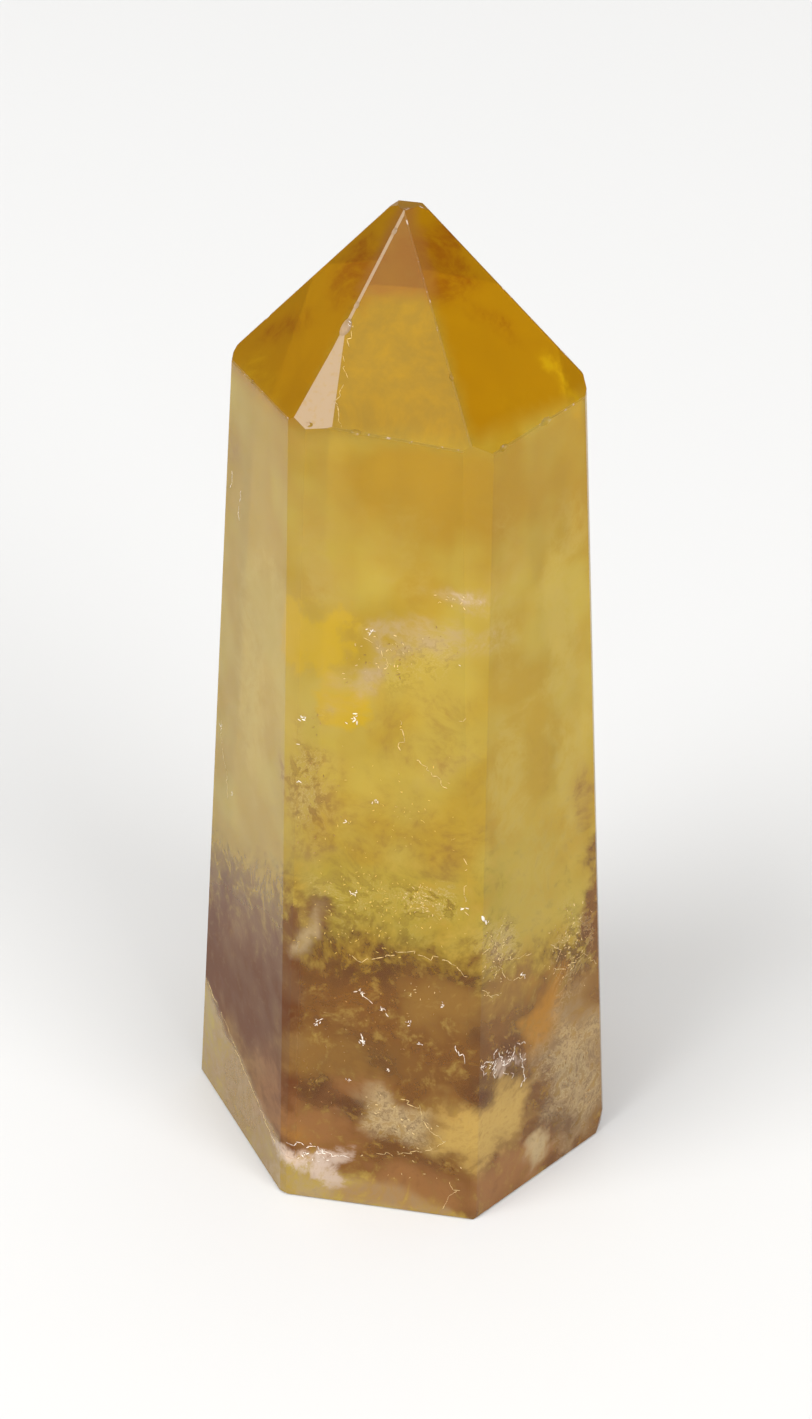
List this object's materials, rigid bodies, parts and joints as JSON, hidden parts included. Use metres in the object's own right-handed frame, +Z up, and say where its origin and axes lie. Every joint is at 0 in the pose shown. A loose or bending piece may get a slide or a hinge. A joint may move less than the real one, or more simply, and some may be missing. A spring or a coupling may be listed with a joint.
{
  "type": "fluorite point",
  "caption": "Standing polished crystal tower: a tapering hexagonal prism of clear yellow fluorite with a faceted pyramid tip, a cloudy brown foot and fine inner cracks.",
  "frame": {"origin": "centre of the footprint, on the polished base", "axes": "+Z up from the base to the tip; -Y is the side that the front face looks towards"},
  "size_m": [0.0338, 0.0326, 0.08],
  "materials": {
    "fluorite": "polished fluorite, honey yellow, brown-mauve towards the base"
  },
  "bodies": {
    "root": {"fluorite_point": "fluorite"}
  },
  "joints": []
}
